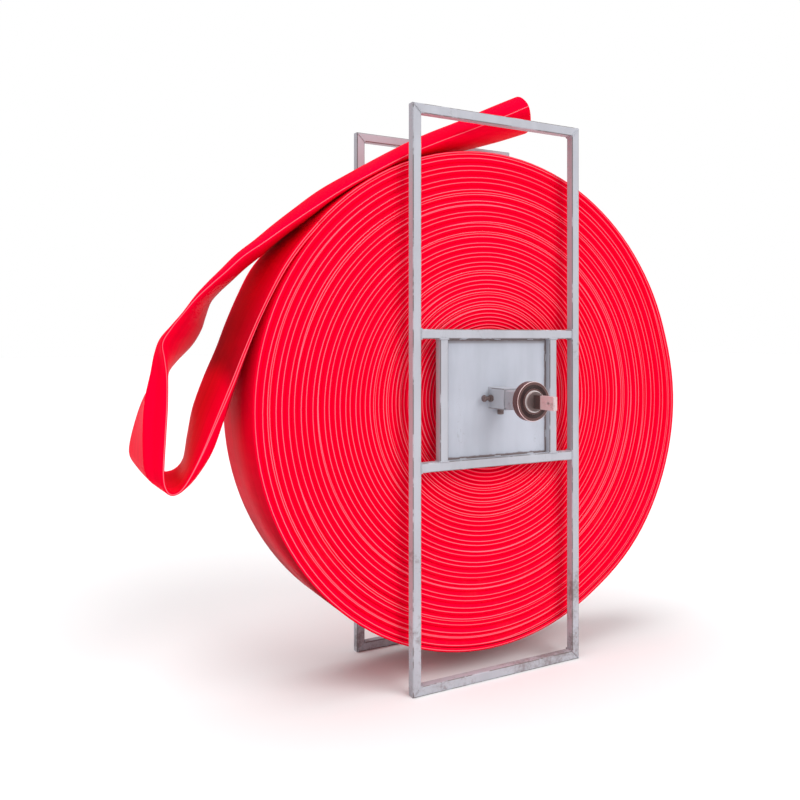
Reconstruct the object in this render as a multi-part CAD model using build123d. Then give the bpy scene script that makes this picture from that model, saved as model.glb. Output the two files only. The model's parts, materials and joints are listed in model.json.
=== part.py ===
from build123d import *
import math
import os

# A long lay-flat fire hose, rolled in a flat spiral on a square axle and kept on edge between
# two welded square-tube frames. Millimetres. X is across the frames, Y along the axle with the
# front at -Y, and Z up from the floor. The origin is on the floor, under the middle of the axle.

# Driving dimensions: frames
FRAME_HEIGHT = 1200.0
FRAME_WIDTH = 430.0
FRAME_OUTSIDE = 286.0         # over the two frames, along Y
TUBE = 20.0                   # square tube
TUBE_WALL = 2.0
TUBE_CORNER = 3.0
CROSSBAR_RISE = 136.0         # from the axle's centre to a crossbar's centre
STRUT_OFFSET = 141.0          # from the axle's centre to a strut's centre
PANEL_THICKNESS = 3.0
PANEL_RECESS = 14.0           # the panel's face behind the tubes' faces
PANEL_HOLE = 42.0

# Axle, its clamping collars and their screws
AXLE_HEIGHT = 597.0
AXLE_SIDE = 40.0
AXLE_CORNER = 3.0
SHOULDER = 238.0              # from the middle to the shoulder that the bearing stands on
JOURNAL_RADIUS = 20.0
JOURNAL_END = 262.0
TONGUE_END = 324.0
TONGUE_THICKNESS = 10.0
TONGUE_TALL = 27.0
TONGUE_SLOT_DEPTH = 15.0
TONGUE_HOLE_RADIUS = 4.0
TONGUE_HOLE_FROM_END = 16.0
COLLAR_SIDE = 45.0
COLLAR_BORE = 41.0
COLLAR_CORNER = 4.0
COLLAR_END = 184.0
SCREW_RADIUS = 4.0            # M8 set screws
SCREW_HEAD_ACROSS = 13.0
SCREW_HEAD_HEIGHT = 5.3
SIDE_SCREW_REACH = 45.0       # from the axle's centre to the top of the head
BOTTOM_SCREW_REACH = 35.0
SCREW_FROM_PANEL = 12.0
NUT_HEIGHT = 6.5
NUT_CLEARANCE = 0.05
TIP_GAP = 0.1

# Bearing, 40 x 80 x 18 with two rubber seals
BEARING_RADIUS = 40.0
BEARING_WIDTH = 18.0
BEARING_EDGE = 1.0
BALL_CIRCLE = 30.0
BALL_RADIUS = 5.75
GROOVE_RADIUS = 6.05
BALL_COUNT = 9
INNER_RING_RADIUS = 26.0
OUTER_RING_BORE = 34.0
SEAL_THICKNESS = 1.2
SEAL_INSET = 0.6
SEAL_LIP_GAP = 0.4
CAGE_INNER = 28.6
CAGE_OUTER = 31.4
CAGE_WIDTH = 13.4
POCKET_RADIUS = 5.9

# Retaining ring, 40 x 1.75
CLIP_THICKNESS = 1.75
CLIP_INNER = 18.8
CLIP_OUTER = 22.3
CLIP_GROOVE = 18.75
CLIP_GROOVE_WIDTH = 1.95
CLIP_OPENING = 56.0           # degrees, open towards +X
LUG_RADIUS = 2.6
LUG_HOLE = 1.1

# Core that the hose is wound on
CORE_RADIUS = 110.0
CORE_WALL = 3.0
CORE_LENGTH = 205.0
DISC_THICKNESS = 4.0
DISC_INSET = 4.0
AXLE_PLAY = 0.2
BAR_WIDTH = 30.0
BAR_THICKNESS = 6.0
BAR_LENGTH = 190.0
BOLT_SPACING = 70.0

# Hose: 5 inch lay-flat, 205 flat, 3.25 wall
HOSE_WIDTH = 205.0
HOSE_FLAT = 6.5               # two walls pressed flat
ROLL_RADIUS = 542.0
ROLL_SAG = 10.0               # the slack outer turns hang lower than the axle
TAIL_THICKNESS = 20.0

# Route of the hose's loose outer end, as (X, Z) at the middle of its thickness: down off the
# roll's left side, round the hanging loop, and back up over the top to the open end
TAIL_ROUTE = [
    (-448, 893), (-503, 822), (-536, 742), (-562, 672), (-594, 592), (-625, 520),
    (-652, 468), (-671, 441), (-694, 436), (-707, 458), (-709, 505), (-704, 570),
    (-702, 645), (-690, 715), (-652, 785), (-600, 839), (-532, 893), (-455, 949),
    (-379, 1001), (-298, 1064), (-200, 1112), (-100, 1152), (10, 1207), (105, 1247),
]
ARC_SHARE = 0.45              # share of the shorter run that an arc takes

parts = {}


def bar_y(radius, low, high, x=0.0, z=AXLE_HEIGHT):
    """Round bar along Y from low to high."""
    return Pos(x, (low + high) / 2, z) * Cylinder(radius, high - low, rotation=(90, 0, 0))


def ring_y(outer, inner, low, high, z=AXLE_HEIGHT):
    """Plain ring along Y."""
    return bar_y(outer, low, high, z=z) - bar_y(inner, low - 1, high + 1, z=z)


def block(x, y, z):
    """Box between pairs of limits."""
    size = (x[1] - x[0], y[1] - y[0], z[1] - z[0])
    return Pos(sum(x) / 2, sum(y) / 2, sum(z) / 2) * Box(*size)


def square_tube(length):
    """Square tube standing on the XY plane."""
    inside = TUBE - 2 * TUBE_WALL
    section = RectangleRounded(TUBE, TUBE, TUBE_CORNER)
    section -= RectangleRounded(inside, inside, TUBE_CORNER - TUBE_WALL)
    return extrude(section, length)


def cut_to(tube, outline, y):
    """The part of a tube within an outline in X and Z, for its mitred ends."""
    loop = Polyline(*[(px, y - TUBE, pz) for px, pz in outline], close=True)
    return tube & extrude(make_face(loop), 2 * TUBE, dir=(0, 1, 0))


def hexagon(across, height):
    """Hexagon bar standing on the XY plane."""
    return extrude(RegularPolygon(across / 2, 6, major_radius=False), height)


def set_screw(reach):
    """Screw along +Z, its tip against the axle and the top of its head at reach."""
    tip = AXLE_SIDE / 2 + TIP_GAP
    shank_end = reach - SCREW_HEAD_HEIGHT
    shank = Pos(0, 0, (tip + shank_end) / 2) * Cylinder(SCREW_RADIUS, shank_end - tip)
    shank = chamfer(shank.edges().sort_by(Axis.Z)[0], 1)
    head = Pos(0, 0, shank_end) * hexagon(SCREW_HEAD_ACROSS, SCREW_HEAD_HEIGHT)
    rounding = Pos(0, 0, shank_end) * Cone(
        SCREW_HEAD_ACROSS / 2 + 3.5, SCREW_HEAD_ACROSS / 2 - 0.3, SCREW_HEAD_HEIGHT,
        align=(Align.CENTER, Align.CENTER, Align.MIN))
    return shank + (head & rounding)


def collar_nut():
    """Nut along +Z, welded to the collar's wall."""
    nut = Pos(0, 0, COLLAR_SIDE / 2) * hexagon(SCREW_HEAD_ACROSS, NUT_HEIGHT)
    return nut - Pos(0, 0, COLLAR_SIDE / 2) * Cylinder(SCREW_RADIUS + NUT_CLEARANCE, 3 * NUT_HEIGHT)


def frame_pieces():
    """The front frame, with its panel, its collar and its two screws."""
    face = -FRAME_OUTSIDE / 2
    y = face + TUBE / 2
    half = FRAME_WIDTH / 2
    inner = half - TUBE
    top = FRAME_HEIGHT
    pieces = {}

    sides = {"left": -1, "right": 1}
    for side, s in sides.items():
        upright = Pos(s * (half - TUBE / 2), y, 0) * square_tube(top)
        ends = [(s * half, 0), (s * inner, TUBE), (s * inner, top - TUBE), (s * half, top)]
        pieces[f"{side}_upright"] = cut_to(upright, ends, y)
    for level, z, inside in (("top", top - TUBE / 2, -1), ("bottom", TUBE / 2, 1)):
        rail = Pos(-half, y, z) * Rot(0, 90, 0) * square_tube(FRAME_WIDTH)
        outer_z = z - inside * TUBE / 2
        inner_z = z + inside * TUBE / 2
        ends = [(-half, outer_z), (half, outer_z), (inner, inner_z), (-inner, inner_z)]
        pieces[f"{level}_rail"] = cut_to(rail, ends, y)
    for level, s in (("upper", 1), ("lower", -1)):
        crossbar = Rot(0, 90, 0) * square_tube(2 * inner)
        pieces[f"{level}_crossbar"] = Pos(-inner, y, AXLE_HEIGHT + s * CROSSBAR_RISE) * crossbar
    window = CROSSBAR_RISE - TUBE / 2
    for side, s in sides.items():
        strut = Pos(s * STRUT_OFFSET, y, AXLE_HEIGHT - window) * square_tube(2 * window)
        pieces[f"{side}_strut"] = strut

    half_panel = STRUT_OFFSET - TUBE / 2
    panel_face = face + PANEL_RECESS
    hole = PANEL_HOLE / 2
    panel = block((-half_panel, half_panel), (panel_face, panel_face + PANEL_THICKNESS),
                  (AXLE_HEIGHT - window, AXLE_HEIGHT + window))
    pieces["panel"] = panel - block((-hole, hole), (panel_face - 1, panel_face + 2 * PANEL_THICKNESS),
                                    (AXLE_HEIGHT - hole, AXLE_HEIGHT + hole))

    outside = COLLAR_SIDE / 2
    bore = COLLAR_BORE / 2
    collar = block((-outside, outside), (-COLLAR_END, panel_face),
                   (AXLE_HEIGHT - outside, AXLE_HEIGHT + outside))
    collar = fillet(collar.edges().filter_by(Axis.Y), COLLAR_CORNER)
    collar -= block((-bore, bore), (-COLLAR_END - 1, panel_face + 1),
                    (AXLE_HEIGHT - bore, AXLE_HEIGHT + bore))
    screw_y = panel_face - SCREW_FROM_PANEL
    side_place = Pos(0, screw_y, AXLE_HEIGHT) * Rot(0, -90, 0)
    bottom_place = Pos(0, screw_y, AXLE_HEIGHT) * Rot(180, 0, 0)
    hole_drill = Pos(0, 0, outside) * Cylinder(SCREW_RADIUS + 0.5, COLLAR_SIDE / 2)
    pieces["collar"] = collar - side_place * hole_drill - bottom_place * hole_drill
    pieces["collar_nuts"] = Compound([side_place * collar_nut(), bottom_place * collar_nut()])
    pieces["side_set_screw"] = side_place * set_screw(SIDE_SCREW_REACH)
    pieces["bottom_set_screw"] = bottom_place * set_screw(BOTTOM_SCREW_REACH)
    return pieces


def bearing_pieces():
    """The front sealed ball bearing, its seals, cage and balls."""
    low, high = -SHOULDER - BEARING_WIDTH, -SHOULDER
    middle = (low + high) / 2
    groove = Pos(0, middle, AXLE_HEIGHT) * Torus(BALL_CIRCLE, GROOVE_RADIUS, rotation=(90, 0, 0))
    outer = bar_y(BEARING_RADIUS, low, high)
    outer = fillet(outer.edges(), BEARING_EDGE)
    inner = ring_y(INNER_RING_RADIUS, JOURNAL_RADIUS, low, high)
    cage = ring_y(CAGE_OUTER, CAGE_INNER, middle - CAGE_WIDTH / 2, middle + CAGE_WIDTH / 2)
    balls = []
    for i in range(BALL_COUNT):
        turn = Pos(0, middle, AXLE_HEIGHT) * Rot(0, 360 * i / BALL_COUNT, 0)
        cage -= turn * Pos(BALL_CIRCLE, 0, 0) * Cylinder(POCKET_RADIUS, 8, rotation=(0, 90, 0))
        balls.append(turn * Pos(BALL_CIRCLE, 0, 0) * Sphere(BALL_RADIUS))

    def seal(y):
        return ring_y(OUTER_RING_BORE, INNER_RING_RADIUS + SEAL_LIP_GAP, y, y + SEAL_THICKNESS)

    return {
        "bearing_outer_ring": outer - bar_y(OUTER_RING_BORE, low - 1, high + 1) - groove,
        "bearing_inner_ring": inner - groove,
        "bearing_cage": cage,
        "bearing_balls": Compound(balls),
        "bearing_outer_seal": seal(low + SEAL_INSET),
        "bearing_inner_seal": seal(high - SEAL_INSET - SEAL_THICKNESS),
    }


def drive_tongue():
    """The front drive tongue, let into the journal's slot."""
    low, high = -TONGUE_END, -JOURNAL_END + TONGUE_SLOT_DEPTH
    half = TONGUE_THICKNESS / 2
    tongue = block((-half, half), (low, high),
                   (AXLE_HEIGHT - TONGUE_TALL / 2, AXLE_HEIGHT + TONGUE_TALL / 2))
    tongue = chamfer(tongue.faces().sort_by(Axis.Y)[0].edges(), 1.5)
    hole_y = low + TONGUE_HOLE_FROM_END
    hole = Cylinder(TONGUE_HOLE_RADIUS, 2 * TONGUE_THICKNESS, rotation=(0, 90, 0))
    return tongue - Pos(0, hole_y, AXLE_HEIGHT) * hole


def retaining_ring():
    """The front retaining ring, with its two lugs."""
    low = -SHOULDER - BEARING_WIDTH - 0.1 - CLIP_THICKNESS
    high = low + CLIP_THICKNESS
    ring = ring_y(CLIP_OUTER, CLIP_INNER, low, high)
    half_gap = math.radians(CLIP_OPENING / 2)
    far = 2 * CLIP_OUTER
    gap = make_face(Polyline((0, low - 1, AXLE_HEIGHT),
                             (far, low - 1, AXLE_HEIGHT + far * math.tan(half_gap)),
                             (far, low - 1, AXLE_HEIGHT - far * math.tan(half_gap)), close=True))
    ring -= extrude(gap, 2 * CLIP_THICKNESS + 2, dir=(0, 1, 0))
    lug_circle = CLIP_INNER + LUG_RADIUS + 0.6
    for s in (1, -1):
        x = lug_circle * math.cos(half_gap)
        z = AXLE_HEIGHT + s * lug_circle * math.sin(half_gap)
        ring += bar_y(LUG_RADIUS, low, high, x, z)
        ring -= bar_y(LUG_HOLE, low - 1, high + 1, x, z)
    return ring


def axle():
    """Square axle with a round journal, a ring groove and a tongue slot at each end."""
    half = AXLE_SIDE / 2
    bar = block((-half, half), (-SHOULDER, SHOULDER), (AXLE_HEIGHT - half, AXLE_HEIGHT + half))
    bar = chamfer(bar.edges().filter_by(Axis.Y), AXLE_CORNER)
    slot_half = TONGUE_THICKNESS / 2
    for s in (-1, 1):
        journal = sorted((s * (SHOULDER - 1), s * JOURNAL_END))
        bar += bar_y(JOURNAL_RADIUS, *journal)
        groove_mid = s * (SHOULDER + BEARING_WIDTH + 0.1 + CLIP_THICKNESS / 2)
        bar -= ring_y(JOURNAL_RADIUS + 2, CLIP_GROOVE, groove_mid - CLIP_GROOVE_WIDTH / 2,
                      groove_mid + CLIP_GROOVE_WIDTH / 2)
        slot = sorted((s * (JOURNAL_END - TONGUE_SLOT_DEPTH), s * (JOURNAL_END + 1)))
        bar -= block((-slot_half, slot_half), slot,
                     (AXLE_HEIGHT - TONGUE_TALL / 2, AXLE_HEIGHT + TONGUE_TALL / 2))
    return bar


def core_pieces():
    """Drum, its two discs, and the bar and bolts that hold the hose's inner end."""
    half = CORE_LENGTH / 2
    bore = AXLE_SIDE / 2 + AXLE_PLAY
    inside = CORE_RADIUS - CORE_WALL
    top = AXLE_HEIGHT + CORE_RADIUS
    drum = ring_y(CORE_RADIUS, inside, -half, half)
    bar_low = top + HOSE_FLAT
    bar = block((-BAR_WIDTH / 2, BAR_WIDTH / 2), (-BAR_LENGTH / 2, BAR_LENGTH / 2),
                (bar_low, bar_low + BAR_THICKNESS))
    bolts, nuts = [], []
    nut_low = AXLE_HEIGHT + inside - 1.0 - NUT_HEIGHT
    for y in (-BOLT_SPACING, 0, BOLT_SPACING):
        drill = Pos(0, y, top) * Cylinder(SCREW_RADIUS + 0.25, 4 * CORE_WALL + 4 * BAR_THICKNESS)
        drum -= drill
        bar -= drill
        head_low = bar_low + BAR_THICKNESS
        shank = Pos(0, y, nut_low) * Cylinder(
            SCREW_RADIUS, head_low - nut_low, align=(Align.CENTER, Align.CENTER, Align.MIN))
        bolts.append(shank + Pos(0, y, head_low) * hexagon(SCREW_HEAD_ACROSS, SCREW_HEAD_HEIGHT))
        nut = Pos(0, y, nut_low) * hexagon(SCREW_HEAD_ACROSS, NUT_HEIGHT)
        nuts.append(nut - Pos(0, y, nut_low) * Cylinder(SCREW_RADIUS, 4 * NUT_HEIGHT))
    pieces = {"core_drum": drum, "hose_anchor_bar": bar,
              "hose_anchor_bolts": Compound(bolts), "hose_anchor_nuts": Compound(nuts)}
    for side, s in (("front", -1), ("back", 1)):
        y = sorted((s * (half - DISC_INSET), s * (half - DISC_INSET - DISC_THICKNESS)))
        disc = bar_y(inside, *y)
        disc -= block((-bore, bore), (y[0] - 1, y[1] + 1), (AXLE_HEIGHT - bore, AXLE_HEIGHT + bore))
        pieces[f"core_{side}_disc"] = disc
    return pieces


def hose_roll():
    """The wound turns as one disc, its bore on the core and its rim sagging a little."""
    half = HOSE_WIDTH / 2
    disc = bar_y(ROLL_RADIUS, -half, half, z=AXLE_HEIGHT - ROLL_SAG)
    disc -= bar_y(CORE_RADIUS, -half - 1, half + 1)
    top = AXLE_HEIGHT + CORE_RADIUS
    pocket_half = BAR_WIDTH / 2 + 1
    disc -= block((-pocket_half, pocket_half), (-BAR_LENGTH / 2 - 1, BAR_LENGTH / 2 + 1),
                  (top + HOSE_FLAT, top + HOSE_FLAT + BAR_THICKNESS + SCREW_HEAD_HEIGHT + 1))
    for y in (-BOLT_SPACING, 0, BOLT_SPACING):
        disc -= Pos(0, y, top) * Cylinder(SCREW_RADIUS + 0.25, 4 * HOSE_FLAT)
    return disc


def hose_tail():
    """The loose outer end as one plain band along its route."""
    points = [Vector(x, 0, z) for x, z in TAIL_ROUTE]
    radii = []
    for before, corner, after in zip(points, points[1:], points[2:]):
        into, out = corner - before, after - corner
        turn = into.get_angle(out)
        shorter = min(into.length, out.length)
        radii.append(ARC_SHARE * shorter / math.tan(math.radians(turn / 2)))
        print(f"tail corner ({corner.X:.0f}, {corner.Z:.0f}) turns {turn:.1f}, radius {radii[-1]:.0f}")
    route = FilletPolyline(*points, radius=radii)
    start = Plane(origin=route @ 0, x_dir=(0, 1, 0), z_dir=route % 0)
    band = sweep(start * Rectangle(HOSE_WIDTH, TAIL_THICKNESS), path=route)
    expected = HOSE_WIDTH * TAIL_THICKNESS * route.length
    print(f"tail {route.length:.0f} long, volume over section times length {band.volume / expected:.4f}")
    return band


# Each frame and each bearing is the same piece at both ends, turned half round about Z
turned = Rot(0, 0, 180)
ends = {**frame_pieces(), **bearing_pieces()}
ends["drive_tongue"] = drive_tongue()
ends["retaining_ring"] = retaining_ring()
for name, piece in ends.items():
    parts[f"front_{name}"] = piece
    parts[f"back_{name}"] = turned * piece

parts["axle"] = axle()
parts.update(core_pieces())
parts["hose_roll"] = hose_roll()
parts["hose_tail"] = hose_tail()

os.makedirs("parts", exist_ok=True)
for name, piece in parts.items():
    piece.label = name
    export_step(piece, f"parts/{name}.step")
print(len(parts), "nodes")
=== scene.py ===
import json
import math

import bmesh
import bpy
import numpy as np
from bpy.props import FloatProperty, FloatVectorProperty, IntProperty, PointerProperty
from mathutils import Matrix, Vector


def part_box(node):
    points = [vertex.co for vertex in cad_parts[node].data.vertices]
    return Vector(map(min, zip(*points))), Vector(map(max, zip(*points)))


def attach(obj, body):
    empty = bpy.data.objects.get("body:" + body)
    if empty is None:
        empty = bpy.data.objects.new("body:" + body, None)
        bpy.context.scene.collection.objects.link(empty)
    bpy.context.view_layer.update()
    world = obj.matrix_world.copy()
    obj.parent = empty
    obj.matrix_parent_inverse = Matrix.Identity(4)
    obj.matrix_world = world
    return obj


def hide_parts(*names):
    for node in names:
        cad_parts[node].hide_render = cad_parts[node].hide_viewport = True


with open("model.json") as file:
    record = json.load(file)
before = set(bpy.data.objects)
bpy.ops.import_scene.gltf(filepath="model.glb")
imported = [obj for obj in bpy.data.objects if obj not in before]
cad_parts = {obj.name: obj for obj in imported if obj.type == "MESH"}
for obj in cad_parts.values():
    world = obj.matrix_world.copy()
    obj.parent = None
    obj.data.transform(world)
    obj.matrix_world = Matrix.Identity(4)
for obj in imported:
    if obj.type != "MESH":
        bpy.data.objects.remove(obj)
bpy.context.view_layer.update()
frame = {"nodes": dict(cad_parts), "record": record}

bl_info = {
    "name": "Rolled Fire Hose",
    "version": (1, 0, 0),
    "blender": (4, 5, 0),
    "location": "3D View > Sidebar > Fire Hose",
    "description": "Builds a lay-flat fire hose rolled on a framed reel",
    "category": "Object",
}

MM = 0.001
ENDS = {"front": -1, "back": 1}
HOSE_UV = "hose_uv"

# What the frame gives
ROLL_LOW, ROLL_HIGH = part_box("hose_roll")
AXLE_LOW, AXLE_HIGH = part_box("axle")
DRUM_LOW, DRUM_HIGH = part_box("core_drum")
AXLE_Z = (AXLE_LOW.z + AXLE_HIGH.z) / 2
SHOULDER_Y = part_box("back_bearing_inner_ring")[0].y
JOURNAL_END = AXLE_HIGH.y
HOSE_WIDTH = ROLL_HIGH.y - ROLL_LOW.y
CORE_RADIUS = (DRUM_HIGH.z - DRUM_LOW.z) / 2
RIM_RADIUS = (ROLL_HIGH.x - ROLL_LOW.x) / 2


# ---------------------------------------------------------------- settings

class HoseSettings(bpy.types.PropertyGroup):
    """Sizes and colours of the hose and of how it is wound."""

    width: FloatProperty(name="Flat width", description="Width of the hose pressed flat",
                         default=HOSE_WIDTH, unit="LENGTH")
    wall: FloatProperty(name="Wall", description="Thickness of one wall of the hose",
                        default=3.1 * MM, unit="LENGTH")
    turns: IntProperty(name="Turns", description="Turns between the core and the loose end",
                       default=41, min=2)
    steps: IntProperty(name="Steps per turn", description="Sections along one turn",
                       default=120, min=24)
    tight_pitch: FloatProperty(name="Tight pitch", description="Radial step of the innermost turn",
                               default=7.4 * MM, unit="LENGTH")
    pair_shift: FloatProperty(name="Pair shift", description="How far outer turns close up in pairs",
                              default=1.7 * MM, unit="LENGTH")
    stagger: FloatProperty(name="Stagger", description="How far turns stand out of line sideways",
                           default=1.5 * MM, unit="LENGTH")
    dent: FloatProperty(name="Dent", description="Depth of the dent along some folded edges",
                        default=1.2 * MM, unit="LENGTH")
    slack: FloatProperty(name="Slack", description="How far slack outer turns stand off at one side",
                         default=11.0 * MM, unit="LENGTH")
    outer_skin: FloatProperty(name="Outer skin", description="Thickness outside the last fold",
                              default=4.5 * MM, unit="LENGTH")
    outer_swell: FloatProperty(name="Outer swell", description="Extra thickness where it is slack",
                               default=6.5 * MM, unit="LENGTH")
    end_angle: FloatProperty(name="End angle", description="Where the outer turn leaves the roll",
                             default=math.radians(138), subtype="ANGLE")
    end_radius: FloatProperty(name="End radius", description="Radius at which the outer turn leaves",
                              default=RIM_RADIUS + 1.5 * MM, unit="LENGTH")
    drift: FloatProperty(name="Drift", description="How far outer turns sit to the right of the axle",
                         default=3.0 * MM, unit="LENGTH")
    sag: FloatProperty(name="Sag", description="How far outer turns hang below the axle",
                       default=13.0 * MM, unit="LENGTH")
    colour: FloatVectorProperty(name="Cover", description="Colour of the hose's cover",
                                default=(0.96, 0.0, 0.030), subtype="COLOR")
    shade: FloatVectorProperty(name="Shade", description="Colour of the cover's darker streaks",
                               default=(0.74, 0.0, 0.014), subtype="COLOR")
    # Painted highlight along the folded edges, in place of their specular line
    crest_highlight: FloatVectorProperty(name="Crest", description="Colour of the rubbed folded edges",
                               default=(1.0, 0.34, 0.42), subtype="COLOR")
    # Painted shade on the outer turn's outward face low down
    outer_shade: FloatVectorProperty(name="Scuffed", description="Colour of the outer turn's worn part",
                                 default=(0.22, 0.006, 0.010), subtype="COLOR")
    rib_pitch: FloatProperty(name="Rib pitch", description="Spacing of the jacket's ribs",
                             default=2.2 * MM, unit="LENGTH")


class FrameSettings(bpy.types.PropertyGroup):
    """Finish of the frames, their welds and the metal parts."""

    paint: FloatVectorProperty(name="Paint", description="Colour of the frames' paint",
                               default=(0.415, 0.42, 0.465), subtype="COLOR")
    panel_paint: FloatVectorProperty(name="Panel paint", description="Colour of the panels' paint",
                                     default=(0.44, 0.46, 0.525), subtype="COLOR")
    bare: FloatVectorProperty(name="Bare steel", description="Colour where the paint is rubbed off",
                              default=(0.16, 0.13, 0.125), subtype="COLOR")
    # Also the colour of the painted shade along the panels' borders
    rust_and_shade: FloatVectorProperty(name="Rust", description="Colour of rust and old dirt",
                              default=(0.11, 0.055, 0.04), subtype="COLOR")
    weld_width: FloatProperty(name="Weld width", description="Width of a weld's ripples",
                              default=4.0 * MM, unit="LENGTH")
    weld_step: FloatProperty(name="Weld step", description="Distance between a weld's ripples",
                             default=1.6 * MM, unit="LENGTH")
    thread_pitch: FloatProperty(name="Thread pitch", description="Pitch of the set screws' thread",
                                default=1.25 * MM, unit="LENGTH")


class StageSettings(bpy.types.PropertyGroup):
    """Floor, light and camera."""

    floor: FloatVectorProperty(name="Floor", description="Colour of the floor",
                               default=(0.80, 0.80, 0.805), subtype="COLOR")
    sky: FloatProperty(name="Room light", description="Strength of the light from all round",
                       default=0.46, min=0.0)
    reflected: FloatProperty(name="Reflected room", description="Brightness that gloss reflects",
                             default=0.16, min=0.0)
    backdrop: FloatProperty(name="Backdrop", description="Brightness of the room behind",
                            default=1.0, min=0.0)
    eye: FloatVectorProperty(name="Camera", description="Where the camera stands",
                             default=(-0.986, -1.5355, 0.7232), subtype="TRANSLATION")
    heading: FloatProperty(name="Heading", description="How far the camera looks to the right of +Y",
                           default=math.radians(28.03), subtype="ANGLE")
    lens: FloatProperty(name="Lens", description="Focal length in millimetres", default=35.66)
    shift: FloatProperty(name="Shift", description="Vertical lens shift", default=-0.0765)


# ---------------------------------------------------------------- node trees

class Graph:
    """Short-hand for a node tree: each call adds one node and gives its output."""

    def __init__(self, tree):
        self.tree = tree

    def add(self, kind, *inputs, out=0, **settings):
        node = self.tree.nodes.new(kind)
        for name, value in settings.items():
            setattr(node, name, value)
        for socket, value in zip(node.inputs, inputs):
            self.feed(socket, value)
        return node.outputs[out]

    def named(self, kind, inputs, **settings):
        """A node whose inputs are given by their labels."""
        node = self.tree.nodes.new(kind)
        for name, value in settings.items():
            setattr(node, name, value)
        for label, value in inputs.items():
            self.feed(node.inputs[label], value)
        return node

    def feed(self, socket, value):
        if isinstance(value, bpy.types.NodeSocket):
            self.tree.links.new(value, socket)
        elif value is not None:
            socket.default_value = value

    def math(self, operation, *inputs, clamp=False):
        return self.add("ShaderNodeMath", *inputs, operation=operation, use_clamp=clamp)

    def total(self, first, *others):
        for other in others:
            first = self.math("ADD", first, other)
        return first

    def product(self, first, *others):
        for other in others:
            first = self.math("MULTIPLY", first, other)
        return first

    def vector(self, x=0.0, y=0.0, z=0.0):
        return self.add("ShaderNodeCombineXYZ", x, y, z)

    def split(self, vector):
        return self.add("ShaderNodeSeparateXYZ", vector).node.outputs

    def ramp(self, value, low, high, to_low=0.0, to_high=1.0):
        """A smooth step from to_low to to_high as the value goes from low to high."""
        node = self.tree.nodes.new("ShaderNodeMapRange")
        node.interpolation_type = "SMOOTHSTEP"
        for socket, given in zip(node.inputs, (value, low, high, to_low, to_high)):
            self.feed(socket, given)
        return node.outputs[0]

    def mix(self, share, first, second):
        """Colour between first and second."""
        node = self.tree.nodes.new("ShaderNodeMix")
        node.data_type = "RGBA"
        self.feed(node.inputs["Factor"], share)
        colours = [s for s in node.inputs if s.type == "RGBA"]
        for socket, value in zip(colours, (first, second)):
            self.feed(socket, opaque(value))
        return next(s for s in node.outputs if s.type == "RGBA")

    def noise(self, vector, scale, detail=3.0, roughness=0.55, out="Factor"):
        node = self.named("ShaderNodeTexNoise", {
            "Vector": vector, "Scale": scale, "Detail": detail, "Roughness": roughness})
        return node.outputs[0 if out == "Factor" else 1]

    def scaled(self, vector, x, y, z):
        return self.add("ShaderNodeVectorMath", vector, (x, y, z), operation="MULTIPLY")

    def layer(self, under, mask, share, over):
        """A colour laid over another where the mask shows, as strongly as the share says."""
        return self.mix(self.product(mask, share), under, over)

    def off_axis(self, vector, centre_height):
        """Distance from a line along Y at the given height."""
        x, _, z = self.split(vector)
        up = self.math("SUBTRACT", z, centre_height)
        return self.math("SQRT", self.total(self.product(x, x), self.product(up, up)))


def opaque(value):
    """An RGB colour as RGBA, and anything else as it is."""
    if isinstance(value, bpy.types.NodeSocket):
        return value
    return (*value[:3], 1.0)


def group_tree(kind, name, inputs, outputs):
    """A new node group: its tree, a Graph on it, and its group's input and output sockets."""
    tree = bpy.data.node_groups.new(name, kind)
    for label, socket, default in inputs:
        made = tree.interface.new_socket(label, in_out="INPUT", socket_type=socket)
        if default is not None:
            made.default_value = default
    for label, socket in outputs:
        tree.interface.new_socket(label, in_out="OUTPUT", socket_type=socket)
    into = tree.nodes.new("NodeGroupInput").outputs
    out = tree.nodes.new("NodeGroupOutput").inputs
    return tree, Graph(tree), into, out


FLOAT, VECTOR = "NodeSocketFloat", "NodeSocketVector"


def shader_group(name, inputs, outputs):
    """A new shader node group, which materials find by its name."""
    return group_tree("ShaderNodeTree", name, inputs, outputs)[1:]


def make_weave_group():
    """The woven jacket showing through the cover: ribs across the hose and fine lines along it."""
    g, into, out = shader_group(
        "Hose Weave",
        [("UV", VECTOR, None), ("Rib Pitch", FLOAT, 0.002), ("Line Pitch", FLOAT, 0.003)],
        [("Height", FLOAT), ("Fine", FLOAT)])
    across, along, _ = g.split(into["UV"])
    drift = g.noise(into["UV"], 9.0, 2.0)
    turns = g.math("DIVIDE", along, into["Rib Pitch"])
    rib = g.math("SINE", g.product(g.total(turns, g.product(drift, 1.5)), math.tau))
    lines = g.math("DIVIDE", across, into["Line Pitch"])
    line = g.math("SINE", g.product(lines, math.tau))
    pick = g.product(rib, line)
    height = g.total(g.product(rib, 0.45), g.product(line, 0.18), g.product(pick, 0.22))
    g.feed(out["Height"], height)
    g.feed(out["Fine"], g.ramp(height, -0.5, 0.7))


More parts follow.
